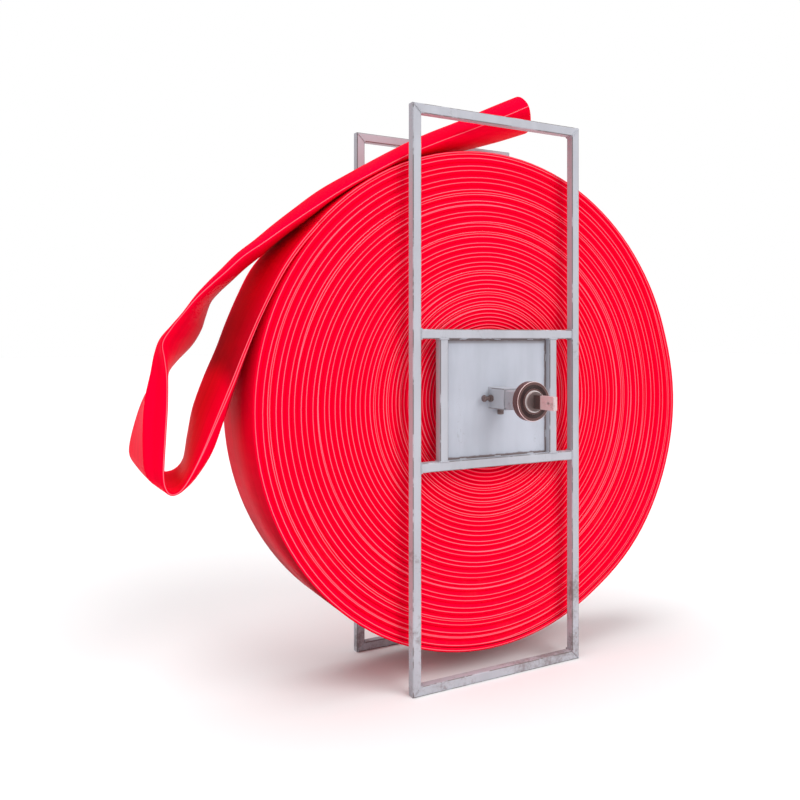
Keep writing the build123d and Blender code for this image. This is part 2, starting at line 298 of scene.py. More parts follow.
def make_crest_highlight_group():
    """A painted highlight line along each folded edge, in place of its specular line, which parts into
    two in some places as a dented edge would show.
    """
    g, into, out = shader_group(
        "Fold Crest Highlight",
        [("UV", VECTOR, None), ("Hose Width", FLOAT, 0.2), ("Reach", FLOAT, 0.001),
         ("Parting", FLOAT, 0.002)],
        [("Mask", FLOAT)])
    across, along, _ = g.split(into["UV"])
    shifted = g.total(across, g.product(into["Hose Width"], 0.5))
    wrapped = g.math("WRAP", shifted, into["Hose Width"], 0.0)
    off = g.math("ABSOLUTE", g.math("SUBTRACT", wrapped, g.product(into["Hose Width"], 0.5)))
    dented = g.noise(g.vector(0.0, g.product(along, 0.45), 4.0), 1.0, 1.0)
    parting = g.product(into["Parting"], g.ramp(dented, 0.54, 0.60))
    away = g.math("ABSOLUTE", g.math("SUBTRACT", off, parting))
    # Noise that breaks the painted highlight line into lengths
    highlight_breakup = g.noise(g.vector(g.product(across, 400.0), g.product(along, 3.0), 0.0), 1.0, 3.0)
    line = g.ramp(away, g.product(into["Reach"], 0.3), into["Reach"], 1.0, 0.0)
    g.feed(out["Mask"], g.product(line, g.ramp(highlight_breakup, 0.30, 0.55, 0.55, 1.0)))


def make_rub_group():
    """Where handling has rubbed an edge: high on rounded edges, broken up by noise."""
    g, into, out = shader_group(
        "Edge Rub",
        [("Vector", VECTOR, None), ("Normal", VECTOR, None), ("Reach", FLOAT, 0.1),
         ("Patch Scale", FLOAT, 30.0), ("Amount", FLOAT, 0.5)],
        [("Mask", FLOAT)])
    local = g.add("ShaderNodeVectorTransform", into["Normal"], vector_type="NORMAL",
                  convert_from="WORLD", convert_to="OBJECT")
    x, y, z = g.split(g.add("ShaderNodeVectorMath", local, operation="ABSOLUTE"))
    flattest = g.math("MAXIMUM", x, g.math("MAXIMUM", y, z))
    edge = g.ramp(g.math("SUBTRACT", 1.0, flattest), 0.01, into["Reach"])
    patches = g.noise(into["Vector"], into["Patch Scale"], 5.0, 0.7)
    threshold = g.math("SUBTRACT", 0.78, g.product(into["Amount"], 0.5))
    darkened_patches = g.ramp(patches, threshold, g.total(threshold, 0.08))
    g.feed(out["Mask"], g.product(edge, darkened_patches))


def make_scratch_group():
    """Thin scratches along one direction, in a few patches."""
    g, into, out = shader_group(
        "Scratches",
        [("Vector", VECTOR, None), ("Scale", FLOAT, 60.0), ("Density", FLOAT, 0.5)],
        [("Mask", FLOAT)])
    lines = g.noise(into["Vector"], into["Scale"], 2.0, 0.4)
    thin = g.ramp(g.math("ABSOLUTE", g.math("SUBTRACT", lines, 0.5)), 0.0, 0.012, 1.0, 0.0)
    patches = g.noise(into["Vector"], g.product(into["Scale"], 0.11), 2.0)
    limit = g.math("SUBTRACT", 0.8, g.product(into["Density"], 0.5))
    g.feed(out["Mask"], g.product(thin, g.ramp(patches, limit, g.total(limit, 0.12))))


def make_grime_group():
    """Cloudy dirt in two sizes, thicker towards a given height."""
    g, into, out = shader_group(
        "Grime",
        [("Vector", VECTOR, None), ("Scale", FLOAT, 8.0), ("Floor Height", FLOAT, 0.3),
         ("Amount", FLOAT, 0.3)],
        [("Mask", FLOAT), ("Cloud", FLOAT)])
    cloud = g.noise(into["Vector"], into["Scale"], 6.0, 0.62)
    speck = g.noise(into["Vector"], g.product(into["Scale"], 14.0), 4.0, 0.6)
    height = g.split(into["Vector"])[2]
    low = g.ramp(height, 0.0, into["Floor Height"], 1.0, 0.0)
    level = g.total(g.product(cloud, 0.7), g.product(speck, 0.3), g.product(low, 0.12))
    limit = g.math("SUBTRACT", 0.75, g.product(into["Amount"], 0.4))
    g.feed(out["Mask"], g.ramp(level, limit, g.total(limit, 0.14)))
    g.feed(out["Cloud"], cloud)


def make_grain_group():
    """Fine machining grain round an axis along Y."""
    g, into, out = shader_group(
        "Turned Grain",
        [("Vector", VECTOR, None), ("Centre Height", FLOAT, 0.6), ("Ring Scale", FLOAT, 900.0)],
        [("Height", FLOAT), ("Tone", FLOAT)])
    radius = g.off_axis(into["Vector"], into["Centre Height"])
    rings = g.noise(g.vector(radius, g.split(into["Vector"])[1], 0.0), into["Ring Scale"], 2.0)
    clouds = g.noise(into["Vector"], 70.0, 4.0)
    g.feed(out["Height"], rings)
    g.feed(out["Tone"], g.total(g.product(rings, 0.4), g.product(clouds, 0.6)))


def make_border_shade_group():
    """Painted shade along the border of a panel that stands across Y, most of it a painted shadow under
    the top.
    """
    g, into, out = shader_group(
        "Border Shade",
        [("Vector", VECTOR, None), ("Half Width", FLOAT, 0.13), ("Half Height", FLOAT, 0.126),
         ("Centre Height", FLOAT, 0.6), ("Reach", FLOAT, 0.006)],
        [("Mask", FLOAT)])
    x, _, z = g.split(into["Vector"])
    up = g.math("SUBTRACT", z, into["Centre Height"])
    side = g.math("SUBTRACT", into["Half Width"], g.math("ABSOLUTE", x))
    level = g.math("SUBTRACT", into["Half Height"], g.math("ABSOLUTE", up))
    wander = g.noise(into["Vector"], 60.0, 4.0)
    # Painted shade in a wavering line along the panel's border
    reach = g.product(into["Reach"], g.total(0.4, g.product(wander, 1.2)))
    edge = g.math("MINIMUM", side, level)
    line = g.ramp(edge, g.product(reach, 0.5), reach, 1.0, 0.0)
    # Painted shadow of the bar above, in a band under the panel's top
    below_top = g.math("SUBTRACT", into["Half Height"], up)
    top_shadow = g.ramp(below_top, into["Reach"], g.product(into["Reach"], 2.0), 0.6, 0.0)
    g.feed(out["Mask"], g.math("MAXIMUM", line, top_shadow))


# ---------------------------------------------------------------- materials

class Finish:
    """One Principled material under construction."""

    def __init__(self, name, **constants):
        self.material = bpy.data.materials.new(name)
        self.material.use_nodes = True
        self.tree = self.material.node_tree
        self.graph = Graph(self.tree)
        self.shader = self.tree.nodes["Principled BSDF"]
        for label, value in constants.items():
            self.shader.inputs[label.replace("_", " ")].default_value = value
        self.place = self.graph.add("ShaderNodeTexCoord", out=3)

    def group(self, name, **inputs):
        """A shader group's outputs, its inputs given by their labels with _ for each space."""
        inputs = {label.replace("_", " "): value for label, value in inputs.items()}
        return self.graph.named("ShaderNodeGroup", inputs,
                                node_tree=bpy.data.node_groups[name]).outputs

    def normal_in(self):
        return self.graph.add("ShaderNodeNewGeometry", out=1)

    def set(self, label, value):
        self.graph.feed(self.shader.inputs[label], value)

    def bump(self, height, depth, strength=1.0):
        node = self.graph.named("ShaderNodeBump", {
            "Strength": strength, "Distance": depth, "Height": height})
        self.set("Normal", node.outputs[0])


DUST = (0.50, 0.10, 0.09)
# Colour of the painted shade over the tongue's root
ROOT_SHADE_COLOUR = (0.035, 0.018, 0.017)


def hose_finish(settings):
    """Red polyurethane cover over a woven jacket, with dusty streaks, a painted highlight along the
    folds and painted shade low on the outer turn.
    """
    finish = Finish("hose cover", Specular_IOR_Level=0.004)
    g = finish.graph
    uv = g.add("ShaderNodeUVMap", uv_map=HOSE_UV)
    weave = finish.group("Hose Weave", UV=uv, Rib_Pitch=settings.rib_pitch,
                         Line_Pitch=settings.rib_pitch * 1.3)
    fold = finish.group("Fold Crest Highlight", UV=uv, Hose_Width=settings.width,
                        Reach=0.95 * MM, Parting=2.3 * MM)
    streaks = g.noise(g.scaled(uv, 60.0, 2.5, 1.0), 1.0, 4.0)
    clouds = g.noise(finish.place, 5.0, 4.0)
    shade = g.total(g.product(g.ramp(streaks, 0.35, 0.75), 0.40), g.product(clouds, 0.2))
    colour = g.mix(shade, settings.colour, settings.shade)
    dust = finish.group("Grime", Vector=finish.place, Scale=11.0, Floor_Height=0.9, Amount=0.30)
    colour = g.layer(colour, dust["Mask"], 0.05, DUST)
    # Painted shade: the outer turn's outward flank goes dark low down, in cloudy patches
    radius = g.off_axis(finish.place, AXLE_Z)
    outer = g.product(g.ramp(radius, RIM_RADIUS - 10 * MM, RIM_RADIUS),
                      g.ramp(radius, RIM_RADIUS + 30 * MM, RIM_RADIUS + 45 * MM, 1.0, 0.0))
    flank = g.ramp(g.math("ABSOLUTE", g.split(finish.normal_in())[1]), 0.35, 0.75, 1.0, 0.0)
    low = g.ramp(g.split(finish.place)[2], AXLE_Z + 0.06, AXLE_Z + 0.30, 1.0, 0.0)
    darkened_patches = g.product(outer, flank, low, g.ramp(clouds, 0.30, 0.65, 0.45, 0.85))
    colour = g.mix(darkened_patches, colour, settings.outer_shade)
    # Painted highlight along the folds, in place of their specular line
    colour = g.layer(colour, fold["Mask"], 0.50, settings.crest_highlight)
    finish.set("Base Color", colour)
    rough = g.total(0.30, g.product(weave["Fine"], 0.05), g.product(clouds, 0.10),
                    g.product(dust["Mask"], 0.15))
    finish.set("Roughness", rough)
    finish.set("Coat Weight", g.product(fold["Mask"], 0.30))
    ripple = g.noise(g.scaled(uv, 24.0, 16.0, 1.0), 1.0, 2.0)
    finish.bump(g.total(g.product(weave["Height"], 0.22), g.product(ripple, 1.4)), 0.45 * MM, 0.6)
    return finish.material


def painted(name, settings, paint, rust_amount, rub_amount, border=None):
    """Grey workshop paint on steel, rubbed at the edges, scuffed and a little rusty low down; on a
    panel, painted shade along its border.
    """
    finish = Finish(name, Specular_IOR_Level=0.45)
    g = finish.graph
    brush = g.noise(g.scaled(finish.place, 30.0, 30.0, 6.0), 1.0, 4.0)
    clouds = g.noise(finish.place, 7.0, 4.0)
    tone = g.total(g.product(brush, 0.5), g.product(clouds, 0.5))
    pale = [min(1.0, c * 1.05) for c in paint]
    deep = [c * 0.93 for c in paint]
    colour = g.mix(g.ramp(tone, 0.35, 0.65), deep, pale)
    grime = finish.group("Grime", Vector=finish.place, Scale=9.0, Floor_Height=0.45,
                         Amount=rust_amount)
    colour = g.layer(colour, grime["Mask"], 0.55, settings.rust_and_shade)
    marks = finish.group("Scratches", Vector=g.scaled(finish.place, 1.0, 1.0, 0.35),
                         Scale=120.0, Density=0.45)
    colour = g.layer(colour, marks["Mask"], 0.45, settings.bare)
    rub = finish.group("Edge Rub", Vector=finish.place, Normal=finish.normal_in(), Reach=0.16,
                       Patch_Scale=13.0, Amount=rub_amount)
    colour = g.layer(colour, rub["Mask"], 0.8, settings.bare)
    if border:
        half_width, half_height = border
        # Painted shade along the panel's border, in the rust colour
        border_shade = finish.group("Border Shade", Vector=finish.place, Half_Width=half_width,
                            Half_Height=half_height, Centre_Height=AXLE_Z)
        colour = g.layer(colour, border_shade["Mask"], 0.8, settings.rust_and_shade)
    finish.set("Base Color", colour)
    finish.set("Metallic", g.product(rub["Mask"], 0.5))
    finish.set("Roughness", g.total(0.42, g.product(clouds, 0.12), g.product(grime["Mask"], 0.25)))
    chips = g.total(g.product(rub["Mask"], -1.0), g.product(marks["Mask"], -0.4),
                    g.product(brush, 0.5), g.product(grime["Mask"], 0.5))
    finish.bump(chips, 0.25 * MM, 0.7)
    return finish.material


def axle_steel():
    """Mill steel: painted over between the frames, with painted shade over the tongue's root and bare
    past it; the tip carries a painted reflection of the red hose.
    """
    finish = Finish("axle steel")
    g = finish.graph
    grain = finish.group("Turned Grain", Vector=finish.place, Centre_Height=AXLE_Z)
    grime = finish.group("Grime", Vector=finish.place, Scale=48.0, Floor_Height=0.1, Amount=0.5)
    out = g.math("ABSOLUTE", g.split(finish.place)[1])
    bare = g.ramp(out, SHOULDER_Y - 2 * MM, SHOULDER_Y)
    # Painted shade over the tongue's root, from the journal's end to about 21 mm along
    root_shade = g.product(g.ramp(out, JOURNAL_END - 2 * MM, JOURNAL_END + 1 * MM),
                     g.ramp(out, JOURNAL_END + 19 * MM, JOURNAL_END + 22 * MM, 1.0, 0.0))
    # The tip's colour is bare steel with a painted pink reflection of the red hose
    tip = g.ramp(out, JOURNAL_END + 19 * MM, JOURNAL_END + 22 * MM)
    base = g.mix(grain["Tone"], (0.30, 0.22, 0.215), (0.44, 0.33, 0.32))
    base = g.mix(bare, (0.34, 0.335, 0.37), base)
    base = g.mix(tip, base, (0.66, 0.52, 0.53))
    base = g.layer(base, root_shade, 0.85, ROOT_SHADE_COLOUR)
    base = g.layer(base, grime["Mask"], 0.5, (0.10, 0.065, 0.06))
    finish.set("Base Color", base)
    finish.set("Metallic", g.product(bare, g.math("SUBTRACT", 0.35, g.product(grime["Mask"], 0.2))))
    finish.set("Roughness", g.total(0.38, g.product(grain["Tone"], 0.12), g.product(grime["Mask"], 0.2)))
    finish.bump(g.total(grain["Height"], grime["Cloud"]), 0.12 * MM, 0.5)
    return finish.material


def turned_steel(name, colour, dark, metallic, roughness, grime_amount, edge=None):
    """Bare turned or ground steel with a film of old oil, and a painted highlight on its chamfers."""
    finish = Finish(name)
    g = finish.graph
    grain = finish.group("Turned Grain", Vector=finish.place, Centre_Height=AXLE_Z)
    grime = finish.group("Grime", Vector=finish.place, Scale=55.0, Floor_Height=0.1,
                         Amount=grime_amount)
    base = g.mix(grain["Tone"], [c * 0.8 for c in colour], colour)
    base = g.layer(base, grime["Mask"], 0.7, dark)
    # Painted highlight on the chamfers, the faces turned partly along Y
    if edge:
        facing = g.math("ABSOLUTE", g.split(finish.normal_in())[1])
        chamfer_highlight = g.product(g.ramp(facing, 0.20, 0.35), g.ramp(facing, 0.93, 0.99, 1.0, 0.0))
        base = g.mix(chamfer_highlight, base, edge)
    finish.set("Base Color", base)
    finish.set("Metallic", g.math("SUBTRACT", metallic, g.product(grime["Mask"], metallic * 0.6)))
    finish.set("Roughness", g.total(roughness, g.product(grain["Tone"], 0.12),
                                    g.product(grime["Mask"], 0.25)))
    finish.bump(g.total(grain["Height"], grime["Cloud"]), 0.12 * MM, 0.5)
    return finish.material


SEAL_RING_PITCH = 2.6 * MM


def seal_rubber():
    """Black-brown rubber of the bearing seals, dusty, with moulded rings."""
    finish = Finish("seal rubber", Specular_IOR_Level=0.35)
    g = finish.graph
    radius = g.off_axis(finish.place, AXLE_Z)
    rings = g.math("SINE", g.product(radius, math.tau / SEAL_RING_PITCH))
    dust = finish.group("Grime", Vector=finish.place, Scale=90.0, Floor_Height=0.1, Amount=0.55)
    finish.set("Base Color", g.layer((0.030, 0.010, 0.010), dust["Mask"], 0.55, (0.12, 0.065, 0.06)))
    finish.set("Roughness", g.total(0.5, g.product(dust["Mask"], 0.25)))
    finish.bump(rings, 0.3 * MM, 0.8)
    return finish.material


def make_materials(scene):
    """Every finish, by the record's slot name, with a few variants."""
    low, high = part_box("front_panel")
    border = ((high.x - low.x) / 2, (high.z - low.z) / 2)
    for make in (make_weave_group, make_crest_highlight_group, make_border_shade_group, make_rub_group,
                 make_scratch_group, make_grime_group, make_grain_group):
        make()
    hose, metal = scene.hose_settings, scene.frame_settings
    return {
        "hose_red": hose_finish(hose),
        "frame_paint": painted("frame paint", metal, metal.paint, 0.40, 0.74),
        "panel_paint": painted("panel paint", metal, metal.panel_paint, 0.16, 0.3, border),
        "core_steel": painted("core paint", metal, metal.paint, 0.2, 0.3),
        "weld": painted("weld paint", metal, [c * 0.96 for c in metal.paint], 0.45, 0.0),
        "axle_steel": axle_steel(),
        # The bearing's edge colour is a painted highlight on its chamfers
        "bearing_steel": turned_steel("bearing steel", (0.14, 0.070, 0.067), (0.045, 0.02, 0.018),
                                      0.4, 0.33, 0.5, edge=(0.95, 0.74, 0.73)),
        "spring_steel": turned_steel("spring steel", (0.80, 0.74, 0.74), (0.3, 0.2, 0.19),
                                     0.45, 0.3, 0.2),
        "plated_steel": turned_steel("plated steel", (0.21, 0.15, 0.145), (0.05, 0.03, 0.027),
                                     0.5, 0.38, 0.55),
        "seal_rubber": seal_rubber(),
    }


MATERIALS = {}                  # filled by the finishes step


def finish_cad_nodes():
    """Gives each shown CAD node the finish of its slot."""
    slots = {s["node"]: s["material_slot"] for s in frame["record"]["subparts"]}
    for name, node in frame["nodes"].items():
        slot = "panel_paint" if name.endswith("_panel") else slots[name]
        node.data.materials.clear()
        node.data.materials.append(MATERIALS[slot])


# ---------------------------------------------------------------- mesh helpers

def plain_object(name, mesh):
    made = bpy.data.objects.new(name, mesh)
    bpy.context.scene.collection.objects.link(made)
    return made


def frozen(source, name):
    """The evaluated object as a plain mesh object of its own; the source is removed."""
    depsgraph = bpy.context.evaluated_depsgraph_get()
    mesh = bpy.data.meshes.new_from_object(source.evaluated_get(depsgraph))
    mesh.name = name
    if not mesh.polygons:
        raise RuntimeError(f"{name} came out empty")
    bpy.data.objects.remove(source)
    return plain_object(name, mesh)


def close_and_face_out(made):
    """Fills open ends and turns every face outward."""
    work = bmesh.new()
    work.from_mesh(made.data)
    rims = [e for e in work.edges if e.is_boundary]
    if rims:
        bmesh.ops.holes_fill(work, edges=rims)
    bmesh.ops.recalc_face_normals(work, faces=work.faces)
    work.to_mesh(made.data)
    work.free()
    made.data.shade_smooth()


def run_tree(tree, name, values, source=None):
    """Runs a geometry tree on a mesh, its inputs set by their sockets' identifiers."""
    holder = plain_object(name + " source", source or bpy.data.meshes.new(name + " source"))
    modifier = holder.modifiers.new(name, "NODES")
    modifier.node_group = tree
    for item in tree.interface.items_tree:
        if item.item_type == "SOCKET" and item.in_out == "INPUT" and item.name in values:
            modifier[item.identifier] = values[item.name]
    return frozen(holder, name)


def hand_over(g, into, out, mesh):
    """Ends a geometry tree: real geometry with its material on."""
    coated = g.named("GeometryNodeSetMaterial", {
        "Geometry": g.add("GeometryNodeRealizeInstances", mesh), "Material": into["Material"]})
    g.feed(out["Geometry"], coated.outputs[0])


def swept(g, curve, sides, radius, scale=None):
    """A closed tube along a curve."""
    ring = g.named("GeometryNodeCurvePrimitiveCircle", {"Resolution": sides, "Radius": radius})
    return g.named("GeometryNodeCurveToMesh", {
        "Curve": curve, "Profile Curve": ring.outputs[0], "Scale": scale,
        "Fill Caps": True}).outputs[0]


def settle(made, body, slot, *stood_for):
    """The calls that every finished piece gets."""
    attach(made, body)
    if stood_for:
        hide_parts(*stood_for)


# ---------------------------------------------------------------- the wound roll

EDGE_POINTS = 10                # across one folded edge
SECTION_POINTS = 2 * EDGE_POINTS
PAIR_SEAM = math.radians(200)   # where a turn passes from the inner to the outer of a pair
SLACK_AT = math.radians(-20)    # the middle of the slack stretch
SLACK_SPREAD = math.radians(38)
SLACK_POWER = 9.0               # how quickly the slack fades from the outer turns inward
SWELL_AT = math.radians(-12)    # the middle of the outer turn's swollen stretch
SWELL_SPREAD = math.radians(70)
PAIR_FLATNESS = 2.6             # how long a turn stays at one radius of its pair
JITTER = 3.2 * MM
TURN_GAP = 0.1 * MM
EDGE_ROUNDNESS = 1.7
EDGE_DEPTH = 0.66               # of the turn's half thickness
EDGE_MOST = 8 * MM              # a thicker turn's edge is no deeper than this half thickness gives
STAGGER_GAIN = 2.6
MERGE_DISTANCE = 1e-6


class Winding:
    """The spiral's own arithmetic, for the tail that carries it on."""

    def __init__(self, s):
        self.s = s
        self.first = CORE_RADIUS + s.tight_pitch / 2
        self.growth = 2 * (s.end_radius - self.first - s.tight_pitch * s.turns) / s.turns ** 2

    def length(self):
        """Length of hose in the spiral."""
        turns = self.s.turns
        return math.tau * (self.first * turns + self.s.tight_pitch * turns ** 2 / 2
                           + self.growth * turns ** 3 / 6)

    def end(self):
        """The hose's middle where the spiral ends, as x and z."""
        x = self.s.drift + self.s.end_radius * math.cos(self.s.end_angle)
        return x, AXLE_Z - self.s.sag + self.s.end_radius * math.sin(self.s.end_angle)


def radius_tree():
    """A turn's radius from its number, and its angle round the axle."""
    tree, g, into, out = group_tree(
        "GeometryNodeTree", "Turn Radius",
        [("Turn", FLOAT, 0.0), ("Turns", FLOAT, 40.0), ("First Radius", FLOAT, 0.11),
         ("Pitch", FLOAT, 0.007), ("Growth", FLOAT, 0.0001), ("Pair Shift", FLOAT, 0.001),
         ("Pair Phase", FLOAT, 0.0), ("Slack", FLOAT, 0.01), ("End Angle", FLOAT, 2.4),
         ("Seed", FLOAT, 3.0)],
        [("Radius", FLOAT), ("Angle", FLOAT)])
    turn = into["Turn"]
    left = g.math("SUBTRACT", into["Turns"], turn)
    share = g.math("DIVIDE", turn, into["Turns"])
    angle = g.math("SUBTRACT", into["End Angle"], g.product(left, math.tau))
    radius = g.total(into["First Radius"], g.product(into["Pitch"], turn),
                     g.product(into["Growth"], g.product(turn, turn), 0.5))
    fade = g.ramp(g.math("ABSOLUTE", left), 0.0, 0.6)
    wave = g.math("COSINE", g.total(g.product(turn, math.pi), into["Pair Phase"]))
    wave = g.math("MINIMUM", 1.0, g.math("MAXIMUM", -1.0, g.product(wave, PAIR_FLATNESS)))
    pairs = g.product(wave, into["Pair Shift"], g.ramp(share, 0.25, 0.75), fade)
    jitter = g.noise(g.vector(g.product(turn, 0.83), into["Seed"], 0.0), 1.0, 2.0)
    jitter = g.product(g.math("SUBTRACT", jitter, 0.5), JITTER, share, fade)
    beside = g.math("COSINE", g.math("SUBTRACT", angle, SLACK_AT))
    slack = g.product(into["Slack"], g.ramp(beside, math.cos(SLACK_SPREAD), 1.0),
                      g.math("POWER", g.math("MINIMUM", share, 1.0), SLACK_POWER))
    g.feed(out["Radius"], g.total(radius, pairs, jitter, slack))
    g.feed(out["Angle"], angle)
    return tree


def winding_tree():
    """Geometry tree of a flat hose wound in a spiral about an axis along Y."""
    spiral = radius_tree()
    shared = ("Turns", "First Radius", "Pitch", "Growth", "Pair Shift", "Pair Phase", "Slack",
              "End Angle", "Seed")
    tree, g, into, out = group_tree(
        "GeometryNodeTree", "Winding",
        [("Turns", "NodeSocketInt", 40), ("Steps", "NodeSocketInt", 96),
         ("First Radius", FLOAT, 0.11), ("Pitch", FLOAT, 0.007), ("Growth", FLOAT, 0.0001),
         ("Width", FLOAT, 0.2), ("Pair Shift", FLOAT, 0.001), ("Pair Phase", FLOAT, 0.0),
         ("Stagger", FLOAT, 0.001), ("Dent", FLOAT, 0.001), ("Slack", FLOAT, 0.01),
         ("Outer Skin", FLOAT, 0.004), ("Outer Swell", FLOAT, 0.006), ("End Angle", FLOAT, 2.4),
         ("Axle Height", FLOAT, 0.6), ("Drift", FLOAT, 0.003), ("Sag", FLOAT, 0.01),
         ("Seed", FLOAT, 3.0), ("Material", "NodeSocketMaterial", None)],
        [("Geometry", "NodeSocketGeometry")])

    def turn_at(number):
        inputs = {"Turn": number, **{label: into[label] for label in shared}}
        return g.named("GeometryNodeGroup", inputs, node_tree=spiral).outputs

    rings = g.total(g.product(into["Turns"], into["Steps"]), 1.0)
    grid = g.named("GeometryNodeMeshGrid", {
        "Size X": into["Turns"], "Size Y": 1.0, "Vertices X": rings,
        "Vertices Y": SECTION_POINTS + 1})
    place = g.split(g.add("GeometryNodeInputPosition"))
    turn = g.total(place[0], g.product(into["Turns"], 0.5))
    share = g.math("DIVIDE", turn, into["Turns"])

    # Section: a folded edge at the front, the outer wall, the back edge and the inner wall
    point = g.math("ROUND", g.product(g.total(place[1], 0.5), SECTION_POINTS))
    side = g.math("MODULO", g.math("FLOOR", g.math("DIVIDE", point, EDGE_POINTS)), 2.0)
    facing = g.math("SUBTRACT", 1.0, g.product(side, 2.0))
    within = g.math("MODULO", point, EDGE_POINTS)
    across = g.product(g.math("SUBTRACT", g.product(within, 2 / (EDGE_POINTS - 1)), 1.0), facing)
    off = g.math("ABSOLUTE", across)

    # Each turn fills the room halfway to its neighbours
    own = turn_at(turn)
    inner = turn_at(g.math("SUBTRACT", turn, 1.0))
    outer = turn_at(g.total(turn, 1.0))
    inward, outward = (
        g.math("SUBTRACT", g.product(g.math("SUBTRACT", far["Radius"], near["Radius"]), 0.5), TURN_GAP)
        for near, far in ((inner, own), (own, outer)))
    beside = g.math("COSINE", g.math("SUBTRACT", own["Angle"], SWELL_AT))
    swell = g.product(into["Outer Swell"], g.ramp(beside, math.cos(SWELL_SPREAD), 0.95))
    last = g.ramp(g.math("SUBTRACT", into["Turns"], turn), 0.97, 1.0, 1.0, 0.0)
    skin = g.math("SUBTRACT", g.total(into["Outer Skin"], swell), outward)
    outward = g.total(outward, g.product(skin, last))
    out_half = g.math("GREATER_THAN", across, 0.0)
    half = g.total(inward, g.product(g.math("SUBTRACT", outward, inward), out_half))
    radius = g.total(own["Radius"], g.product(across, half))

    # Rounded edge, with a dent along the crest of some turns
    reach = g.product(g.math("POWER", off, EDGE_ROUNDNESS), g.math("MINIMUM", half, EDGE_MOST),
                      EDGE_DEPTH)
    dented = g.noise(g.vector(g.product(turn, 1.9), into["Seed"], 3.1), 1.0, 1.0)
    dent = g.product(into["Dent"], g.ramp(dented, 0.40, 0.52),
                     g.ramp(off, 0.05, 0.4, 1.0, 0.0), share)
    out_of_line = g.noise(g.vector(g.product(turn, 1.37), into["Seed"], 7.3), 1.0, 1.0)
    fade = g.ramp(g.math("SUBTRACT", into["Turns"], turn), 0.0, 0.6)
    out_of_line = g.product(g.math("SUBTRACT", out_of_line, 0.5), into["Stagger"], STAGGER_GAIN, fade)
    edge = g.math("SUBTRACT", g.product(into["Width"], 0.5), g.total(reach, dent))
    y = g.math("SUBTRACT", out_of_line, g.product(facing, edge))

    angle = own["Angle"]
    x = g.total(g.product(into["Drift"], share), g.product(radius, g.math("COSINE", angle)))
    z = g.total(g.math("SUBTRACT", into["Axle Height"], g.product(into["Sag"], share)),
                g.product(radius, g.math("SINE", angle)))

    # Metres round and along the hose, for the weave; a fold is at every whole width
    square = g.product(turn, turn)
    along = g.total(g.product(into["First Radius"], turn), g.product(into["Pitch"], square, 0.5),
                    g.product(into["Growth"], square, turn, 1 / 6))
    folds = g.math("FLOOR", g.math("DIVIDE", point, EDGE_POINTS))
    girth = g.total(g.product(folds, into["Width"]), g.product(across, facing, half))
    metres = g.vector(girth, g.product(along, math.tau), 0.0)
    store = g.named("GeometryNodeStoreNamedAttribute", {
        "Geometry": grid.outputs["Mesh"], "Name": HOSE_UV, "Value": metres},
        data_type="FLOAT2", domain="CORNER")

    moved = g.add("GeometryNodeSetPosition", store.outputs[0], None, g.vector(x, y, z))
    merged = g.named("GeometryNodeMergeByDistance", {
        "Geometry": moved, "Distance": MERGE_DISTANCE}).outputs[0]
    hand_over(g, into, out, merged)
    return tree


class HOSE_OT_roll(bpy.types.Operator):
    """Winds the hose on the core"""

    bl_idname = "fire_hose.roll"
    bl_label = "Hose Roll"

    def execute(self, context):
        s = context.scene.hose_settings
        winding = Winding(s)
        seam_turn = s.turns - (s.end_angle - (PAIR_SEAM - math.tau)) / math.tau
        values = {
            "Turns": s.turns, "Steps": s.steps, "First Radius": winding.first,
            "Pitch": s.tight_pitch, "Growth": winding.growth, "Width": s.width,
            "Pair Shift": s.pair_shift, "Pair Phase": math.pi / 2 - math.pi * seam_turn,
            "Stagger": s.stagger, "Dent": s.dent, "Slack": s.slack, "Outer Skin": s.outer_skin,
            "Outer Swell": s.outer_swell, "End Angle": s.end_angle, "Axle Height": AXLE_Z,
            "Drift": s.drift, "Sag": s.sag, "Material": MATERIALS["hose_red"],
        }
        roll = run_tree(winding_tree(), "hose_winding", values)
        close_and_face_out(roll)
        settle(roll, "reel", "hose_red", "hose_roll")
        return {"FINISHED"}


# ---------------------------------------------------------------- the loose end

